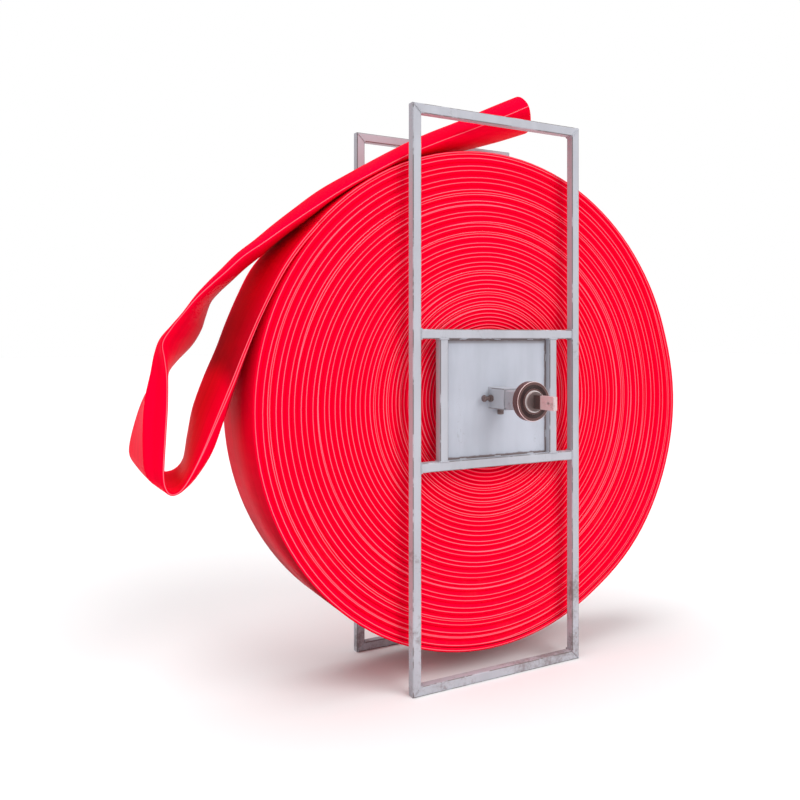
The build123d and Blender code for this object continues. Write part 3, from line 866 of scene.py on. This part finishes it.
# Down the loop and back: the front edge, the back edge (x and z, millimetres), how far the
# face towards the loop bulges, how far the other face bulges, and how sharply that face is
# creased near its front edge (0 for a round bulge, 1 for two flats that meet at the crease)
TAIL_STATIONS = [
    ((-436, 907), (-439, 909), 5, 6.5, 0.0),
    ((-469, 861), (-474, 865), 5, 7, 0.0),
    ((-496, 813), (-502, 812), 7, 8, 0.0),
    ((-523, 758), (-527, 757), 9, 11, 0.0),
    ((-548, 701), (-549, 701), 10, 17, 0.0),
    ((-573, 640), (-574, 646), 11, 25, 0.0),
    ((-600, 578), (-597, 584), 12, 31, 0.0),
    ((-628, 515), (-608, 530), 10, 32, 0.0),
    ((-652, 470), (-617, 478), 7, 20, 0.0),
    ((-668, 450), (-640, 455), 5, 9, 0.0),
    ((-683, 446), (-672, 457), 4, 5, 0.0),
    ((-693, 458), (-704, 474), 4, 9, 0.5),
    ((-697, 486), (-722, 500), 6, 22, 1.0),
    ((-694, 547), (-713, 553), 6, 30, 1.0),
    ((-691, 603), (-692, 612), 6, 33, 1.0),
    ((-691, 654), (-664, 645), 6, 28, 1.0),
    ((-695, 688), (-634, 680), 7, 25, 0.9),
    ((-698, 716), (-606, 712), 8, 20, 0.6),
    ((-682, 743), (-588, 742), 9, 15, 0.25),
    ((-664, 766), (-578, 768), 9, 9, 0.0),
    ((-640, 795), (-566, 800), 9, 12, 0.0),
    ((-613, 821), (-548, 822), 9, 15, 0.0),
    ((-586, 845), (-528, 842), 10, 17, 0.0),
    ((-551, 877), (-500, 870), 11, 19, 0.0),
    ((-510, 906), (-468, 900), 12, 20, 0.0),
    ((-468, 937), (-436, 934), 13, 20, 0.0),
    ((-413, 976), (-388, 978), 14, 20, 0.0),
    ((-357, 1014), (-335, 1022), 11, 20, 0.0),
    ((-296, 1051), (-275, 1060), 10, 20, 0.0),
    ((-203, 1103), (-180, 1110), 12, 24, 0.0),
    ((-120, 1142), (-95, 1148), 18, 30, 0.0),
    ((-40, 1177), (-5, 1182), 30, 34, 0.0),
    ((40, 1214), (85, 1220), 40, 38, 0.0),
    ((104, 1245), (175, 1254), 44, 41, 0.0),
]
TAIL_STEP = 6 * MM
CREASE_AT = 0.18                # how far across the hose the crease is
WALL_SAMPLES = (0.0, 0.003, 0.008, 0.018, 0.035, 0.06, 0.10, 0.14, 0.17, CREASE_AT, 0.19, 0.22,
                0.30, 0.40, 0.5)
FOLD_RADIUS = 2.2 * MM
START_FOLD = 7 * MM             # where the tail carries on from the roll


def smooth_line(knots, step):
    """A Catmull-Rom line through rows of numbers; the first three columns give the spacing."""
    knots = np.array(knots, float)
    padded = np.vstack([2 * knots[0] - knots[1], knots, 2 * knots[-1] - knots[-2]])
    rows = []
    for i in range(1, len(padded) - 2):
        a, b, c, d = padded[i - 1:i + 3]
        count = max(2, round(float(np.linalg.norm(c[:3] - b[:3])) / step))
        for t in np.arange(count) / count:
            rows.append(0.5 * (2 * b + (c - a) * t + (2 * a - 5 * b + 4 * c - d) * t ** 2
                               + (3 * b - a - 3 * c + d) * t ** 3))
    rows.append(knots[-1])
    return np.array(rows)


def wall_profile(bulge, inset, fold, crease=0.0):
    """Heights of one wall over WALL_SAMPLES and back, for a bulge between rounded folds."""
    shares = np.array(WALL_SAMPLES + tuple(1 - s for s in WALL_SAMPLES[-2::-1]))
    near = np.minimum(shares, 1 - shares)
    fold = min(fold, bulge)
    rim = fold * np.sqrt(1 - (1 - np.minimum(near * HOSE_WIDTH / fold, 1)) ** 2)
    round_top = (4 * shares * (1 - shares)) ** 0.66
    flats = np.minimum(shares / CREASE_AT, (1 - shares) / (1 - CREASE_AT))
    swell = (bulge - fold) * ((1 - crease) * round_top + crease * flats)
    return shares, np.maximum(rim + swell - inset, 0.12 * MM * (near > 0))


def run_share(points):
    """How far along a row of points each one is, from 0 to 1."""
    steps = np.linalg.norm(np.diff(points, axis=0), axis=1)
    return np.concatenate([[0.0], np.cumsum(steps)]) / steps.sum()


def hose_tail_mesh(s):
    """The loose end as a hollow hose: an outer skin and the bore, joined at the cut mouth."""
    half = s.width / 2
    winding = Winding(s)
    x, z = winding.end()
    wound = winding.length()
    rows = [(x, -half, z, x, half, z, s.outer_skin, s.outer_skin * 1.45, 0.0, START_FOLD)]
    for number, ((fx, fz), (kx, kz), under, over, crease) in enumerate(TAIL_STATIONS, 1):
        swell = (under + over) * MM / 2
        chord = s.width - max(0.0, swell - 6 * MM) * 0.8
        depth = math.sqrt(chord ** 2 - ((kx - fx) * MM) ** 2 - ((kz - fz) * MM) ** 2)
        fold = max(FOLD_RADIUS, START_FOLD * (1 - number / 6))
        rows.append((fx * MM, -half, fz * MM, kx * MM, depth - half, kz * MM,
                     under * MM, over * MM, crease, fold))
    line = smooth_line(rows, TAIL_STEP)

    front, back = line[:, 0:3], line[:, 3:6]
    middle = (front + back) / 2
    ahead = np.gradient(middle, axis=0)
    across = back - front
    normal = np.cross(across, ahead)
    normal /= np.linalg.norm(normal, axis=1)[:, None]
    travelled = np.concatenate([[0], np.cumsum(np.linalg.norm(np.diff(middle, axis=0), axis=1))])

    points, uvs, loops = [], [], 0
    for inset in (0.0, s.wall):
        for i, row in enumerate(line):
            shares, under = wall_profile(max(row[6], 3.4 * MM), inset, row[9])
            _, over = wall_profile(max(row[7], 3.4 * MM), inset, row[9], row[8])
            if inset:
                shares = 0.014 + 0.972 * shares
            there = front[i] + np.outer(shares, across[i]) + np.outer(under, normal[i])
            again = front[i] + np.outer(shares, across[i]) - np.outer(over, normal[i])
            ring = np.vstack([there, again[-2:0:-1]])
            loops = len(ring)
            points.append(ring)
            girth = np.concatenate([run_share(there), 2 - run_share(again)[-2:0:-1]]) * s.width
            uvs.append(np.column_stack([girth, np.full(loops, wound + travelled[i])]))
    rings = len(line)
    points = np.vstack(points)
    uvs = np.vstack(uvs)

    faces = []
    for skin in range(2):
        for i in range(rings - 1):
            for k in range(loops):
                a = (skin * rings + i) * loops + k
                b = (skin * rings + i) * loops + (k + 1) % loops
                quad = (a, b, b + loops, a + loops)
                faces.append(quad if skin == 0 else quad[::-1])
    for k in range(loops):       # the cut mouth
        a = (rings - 1) * loops + k
        b = (rings - 1) * loops + (k + 1) % loops
        faces.append((a, b, b + rings * loops, a + rings * loops))
    for skin in range(2):        # the end that carries on from the roll
        start = skin * rings * loops
        faces.append(tuple(range(start, start + loops)))
    mesh = bpy.data.meshes.new("hose_loose_end")
    mesh.from_pydata(points.tolist(), [], faces)
    layer = mesh.uv_layers.new(name=HOSE_UV)
    seam = s.width * 2
    for face in mesh.polygons:
        wraps = any(v % loops == loops - 1 for v in face.vertices)
        for corner in face.loop_indices:
            v = mesh.loops[corner].vertex_index
            u = uvs[v][0] + (seam if wraps and v % loops == 0 else 0.0)
            layer.data[corner].uv = (u, uvs[v][1])
    return mesh, float(travelled[-1])


class HOSE_OT_loose_end(bpy.types.Operator):
    """Lays the loose end down its loop and back over the roll"""

    bl_idname = "fire_hose.loose_end"
    bl_label = "Loose End"

    def execute(self, context):
        s = context.scene.hose_settings
        mesh, length = hose_tail_mesh(s)
        tail = plain_object("hose_loose_end", mesh)
        tail.data.materials.append(MATERIALS["hose_red"])
        close_and_face_out(tail)
        settle(tail, "reel", "hose_red", "hose_tail")
        return {"FINISHED"}


# ---------------------------------------------------------------- welds and threads

MITRE_REACH = 0.86              # a mitre's bead stops short of the tubes' rounded outer corner
MEETING = 0.3 * MM              # boxes closer than this touch
TACK_LENGTH = 16 * MM
SHORTEST_TACKED = 50 * MM
BEAD_SIDES = 7
BEAD_WANDER = 1.6 * MM


def seams(first, second):
    """Edges of the seam where two tubes' boxes meet, as pairs of points.

    Boxes that only touch give the four edges of the face they share. Boxes that cross at a
    mitred corner give the mitre's edges on the front, the back and the inside.
    """
    low = [max(a, b) for a, b in zip(first[0], second[0])]
    high = [min(a, b) for a, b in zip(first[1], second[1])]
    flat = [axis for axis in range(3) if abs(high[axis] - low[axis]) < MEETING]
    if flat:
        u, v = [axis for axis in range(3) if axis != flat[0]]
        corners = []
        for at_u, at_v in ((low[u], low[v]), (high[u], low[v]), (high[u], high[v]), (low[u], high[v])):
            point = [0.0, 0.0, 0.0]
            point[flat[0]], point[u], point[v] = low[flat[0]], at_u, at_v
            corners.append(tuple(point))
        return [(corners[i], corners[(i + 1) % 4]) for i in range(4)]
    near_x, far_x = sorted((low[0], high[0]), key=abs)
    near_z, far_z = sorted((low[2], high[2]), key=lambda z: abs(z - AXLE_Z))
    inside = [(near_x, y, near_z) for y in (low[1], high[1])]
    outside = [(far_x, y, far_z) for y in (low[1], high[1])]
    outside = [Vector(a).lerp(Vector(b), MITRE_REACH) for a, b in zip(inside, outside)]
    return [(inside[0], outside[0]), (inside[1], outside[1]), tuple(inside)]


def tacks(start, end, length, count):
    """Short runs spread evenly along a seam."""
    start, end = Vector(start), Vector(end)
    along = (end - start).normalized()
    middles = [start.lerp(end, (i + 0.5) / count) for i in range(count)]
    return [(m - along * length / 2, m + along * length / 2) for m in middles]


def frame_seams(end):
    """Every weld of one end's frame."""
    box = {name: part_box(f"{end}_{name}") for name in (
        "left_upright", "right_upright", "top_rail", "bottom_rail", "upper_crossbar",
        "lower_crossbar", "left_strut", "right_strut", "panel", "collar")}
    edges = []
    for upright in ("left_upright", "right_upright"):
        for bar in ("top_rail", "bottom_rail", "upper_crossbar", "lower_crossbar"):
            edges += seams(box[upright], box[bar])
    for strut in ("left_strut", "right_strut"):
        for bar in ("upper_crossbar", "lower_crossbar"):
            edges += seams(box[strut], box[bar])
    edges += seams(box["collar"], box["panel"])
    for member in ("left_strut", "right_strut", "upper_crossbar", "lower_crossbar"):
        for start, stop in seams(box["panel"], box[member]):
            if (Vector(stop) - Vector(start)).length > SHORTEST_TACKED:
                edges += tacks(start, stop, TACK_LENGTH, 3)
    return edges


def weld_tree():
    """Geometry tree that runs a rippled bead along every edge of a mesh."""
    tree, g, into, out = group_tree(
        "GeometryNodeTree", "Weld Bead",
        [("Seams", "NodeSocketGeometry", None), ("Width", FLOAT, 0.004), ("Step", FLOAT, 0.0016),
         ("Seed", FLOAT, 1.0), ("Material", "NodeSocketMaterial", None)],
        [("Geometry", "NodeSocketGeometry")])
    lines = g.add("GeometryNodeMeshToCurve", into["Seams"])
    runs = g.named("GeometryNodeResampleCurve", {
        "Curve": lines, "Length": g.product(into["Step"], 0.5)}, mode="LENGTH")
    place = g.add("GeometryNodeInputPosition")
    ripple = g.math("MODULO", g.add("GeometryNodeInputIndex"), 2.0)
    shake = g.noise(g.add("ShaderNodeVectorMath", place, g.vector(into["Seed"], 0.0, 0.0)), 260.0, 2.0)
    size = g.total(0.62, g.product(ripple, 0.16), g.product(shake, 0.5))
    radius = g.product(into["Width"], size, 0.5)
    wander = g.noise(place, 180.0, 2.0, out="Color")
    wander = g.add("ShaderNodeVectorMath", wander, (0.5, 0.5, 0.5), operation="SUBTRACT")
    wander = g.scaled(wander, BEAD_WANDER, BEAD_WANDER, BEAD_WANDER)
    moved = g.add("GeometryNodeSetPosition", runs.outputs[0], None, None, wander)
    hand_over(g, into, out, swept(g, moved, BEAD_SIDES, 1.0, radius))
    return tree


class HOSE_OT_welds(bpy.types.Operator):
    """Runs the weld beads round the frames' joints"""

    bl_idname = "fire_hose.welds"
    bl_label = "Welds"

    def execute(self, context):
        s = context.scene.frame_settings
        tree = weld_tree()
        for number, end in enumerate(ENDS):
            edges = frame_seams(end)
            lines = bpy.data.meshes.new("seams")
            points = [tuple(p) for edge in edges for p in edge]
            lines.from_pydata(points, [(i, i + 1) for i in range(0, len(points), 2)], [])
            welds = run_tree(tree, f"{end}_welds", {
                "Width": s.weld_width, "Step": s.weld_step, "Seed": number * 3.7,
                "Material": MATERIALS["weld"]}, lines)
            close_and_face_out(welds)
            settle(welds, f"{end}_frame", "frame_paint")
        return {"FINISHED"}


SCREW_RADIUS = 4 * MM
NUT_HEIGHT = 6.5 * MM
HEAD_HEIGHT = 5.3 * MM
RIDGE_SHARE = 0.30              # a thread ridge's half width, of its pitch


def thread_tree():
    """Geometry tree of a thread's ridge round an axis along X."""
    tree, g, into, out = group_tree(
        "GeometryNodeTree", "Thread",
        [("Start", VECTOR, None), ("Length", FLOAT, 0.01), ("Pitch", FLOAT, 0.00125),
         ("Radius", FLOAT, 0.004), ("Material", "NodeSocketMaterial", None)],
        [("Geometry", "NodeSocketGeometry")])
    spiral = g.named("GeometryNodeCurveSpiral", {
        "Resolution": 24, "Rotations": g.math("DIVIDE", into["Length"], into["Pitch"]),
        "Start Radius": into["Radius"], "End Radius": into["Radius"], "Height": into["Length"]})
    x, y, z = g.split(g.add("GeometryNodeInputPosition"))
    lying = g.vector(g.product(z, -1.0), y, x)
    laid = g.add("GeometryNodeSetPosition", spiral.outputs[0], None,
                 g.add("ShaderNodeVectorMath", lying, into["Start"]))
    hand_over(g, into, out, swept(g, laid, 4, g.product(into["Pitch"], RIDGE_SHARE)))
    return tree


class HOSE_OT_threads(bpy.types.Operator):
    """Cuts the thread that shows on each side set screw"""

    bl_idname = "fire_hose.threads"
    bl_label = "Threads"

    def execute(self, context):
        s = context.scene.frame_settings
        tree = thread_tree()
        for end, side in ENDS.items():
            screw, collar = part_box(f"{end}_side_set_screw"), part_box(f"{end}_collar")
            outer = 0 if side < 0 else 1
            nut = collar[outer].x + side * (NUT_HEIGHT + s.thread_pitch * 0.5)
            head = screw[outer].x - side * (HEAD_HEIGHT + s.thread_pitch * 0.4)
            start = Vector((max(nut, head), (screw[0].y + screw[1].y) / 2, AXLE_Z))
            thread = run_tree(tree, f"{end}_side_thread", {
                "Start": start, "Length": abs(head - nut), "Pitch": s.thread_pitch,
                "Radius": SCREW_RADIUS, "Material": MATERIALS["plated_steel"]})
            close_and_face_out(thread)
            settle(thread, f"{end}_side_screw", "plated_steel")
        return {"FINISHED"}


# ---------------------------------------------------------------- stage

FLOOR_REACH = 30.0


class HOSE_OT_stage(bpy.types.Operator):
    """Sets the floor, the light and the camera"""

    bl_idname = "fire_hose.stage"
    bl_label = "Stage"

    def execute(self, context):
        s = context.scene.stage_settings
        scene = context.scene
        finish = Finish("floor", Roughness=0.85, Specular_IOR_Level=0.2)
        finish.set("Base Color", opaque(s.floor))
        mesh = bpy.data.meshes.new("floor")
        reach = FLOOR_REACH
        corners = [(-reach, -reach, 0), (reach, -reach, 0), (reach, reach, 0), (-reach, reach, 0)]
        mesh.from_pydata(corners, [], [(0, 1, 2, 3)])
        floor = plain_object("floor", mesh)
        mesh.materials.append(finish.material)

        world = bpy.data.worlds.new("studio")
        world.use_nodes = True
        g = Graph(world.node_tree)
        rays = g.add("ShaderNodeLightPath").node.outputs
        strength = g.total(s.sky, g.product(rays["Is Camera Ray"], s.backdrop - s.sky),
                           g.product(rays["Is Glossy Ray"], s.reflected - s.sky))
        background = world.node_tree.nodes["Background"]
        background.inputs["Color"].default_value = (1.0, 1.0, 1.0, 1.0)
        g.feed(background.inputs["Strength"], strength)
        scene.world = world
        scene.view_settings.view_transform = "Standard"

        # Where each light comes from, its spread in degrees, its strength, and if gloss shows it
        for name, source, spread, power, glossy in (
                ("key light", (0.30, -0.72, 0.62), 44, 1.9, True),
                ("top light", (-0.25, 0.0, 1.0), 50, 2.1, False),
                ("left light", (-0.85, -0.45, 0.30), 50, 0.25, False)):
            lamp = bpy.data.lights.new(name, "SUN")
            lamp.energy, lamp.angle = power, math.radians(spread)
            light = bpy.data.objects.new(name, lamp)
            light.location = Vector(source) * 4.0
            light.visible_glossy = glossy
            light.rotation_euler = Vector(source).to_track_quat("Z", "Y").to_euler()
            scene.collection.objects.link(light)

        lens = bpy.data.cameras.new("camera")
        lens.lens, lens.sensor_width, lens.shift_y = s.lens, 36.0, s.shift
        camera = bpy.data.objects.new("camera", lens)
        camera.location = s.eye
        camera.rotation_euler = (math.pi / 2, 0.0, -s.heading)
        scene.collection.objects.link(camera)
        scene.camera = camera
        return {"FINISHED"}


class HOSE_OT_finishes(bpy.types.Operator):
    """Makes the finishes and gives them to the metal parts"""

    bl_idname = "fire_hose.finishes"
    bl_label = "Finishes"

    def execute(self, context):
        MATERIALS.update(make_materials(context.scene))
        finish_cad_nodes()
        return {"FINISHED"}


class HOSE_PT_panel(bpy.types.Panel):
    """Lists the steps that build the hose and its reel"""

    bl_label = "Rolled Fire Hose"
    bl_idname = "HOSE_PT_panel"
    bl_space_type = "VIEW_3D"
    bl_region_type = "UI"
    bl_category = "Fire Hose"

    def draw(self, context):
        for step in STEPS:
            self.layout.operator(step.bl_idname)
        for settings in (context.scene.hose_settings, context.scene.frame_settings,
                         context.scene.stage_settings):
            for name in settings.__annotations__:
                self.layout.prop(settings, name)


STEPS = (HOSE_OT_stage, HOSE_OT_finishes, HOSE_OT_roll, HOSE_OT_loose_end, HOSE_OT_welds,
         HOSE_OT_threads)
CLASSES = (HoseSettings, FrameSettings, StageSettings, *STEPS, HOSE_PT_panel)


def register():
    for cls in CLASSES:
        bpy.utils.register_class(cls)
    bpy.types.Scene.hose_settings = PointerProperty(type=HoseSettings)
    bpy.types.Scene.frame_settings = PointerProperty(type=FrameSettings)
    bpy.types.Scene.stage_settings = PointerProperty(type=StageSettings)


def unregister():
    del bpy.types.Scene.stage_settings
    del bpy.types.Scene.frame_settings
    del bpy.types.Scene.hose_settings
    for cls in reversed(CLASSES):
        bpy.utils.unregister_class(cls)


def main():
    register()
    bpy.ops.fire_hose.stage()
    bpy.ops.fire_hose.finishes()
    bpy.ops.fire_hose.roll()
    bpy.ops.fire_hose.loose_end()
    bpy.ops.fire_hose.welds()
    bpy.ops.fire_hose.threads()


if __name__ == "__main__":
    main()
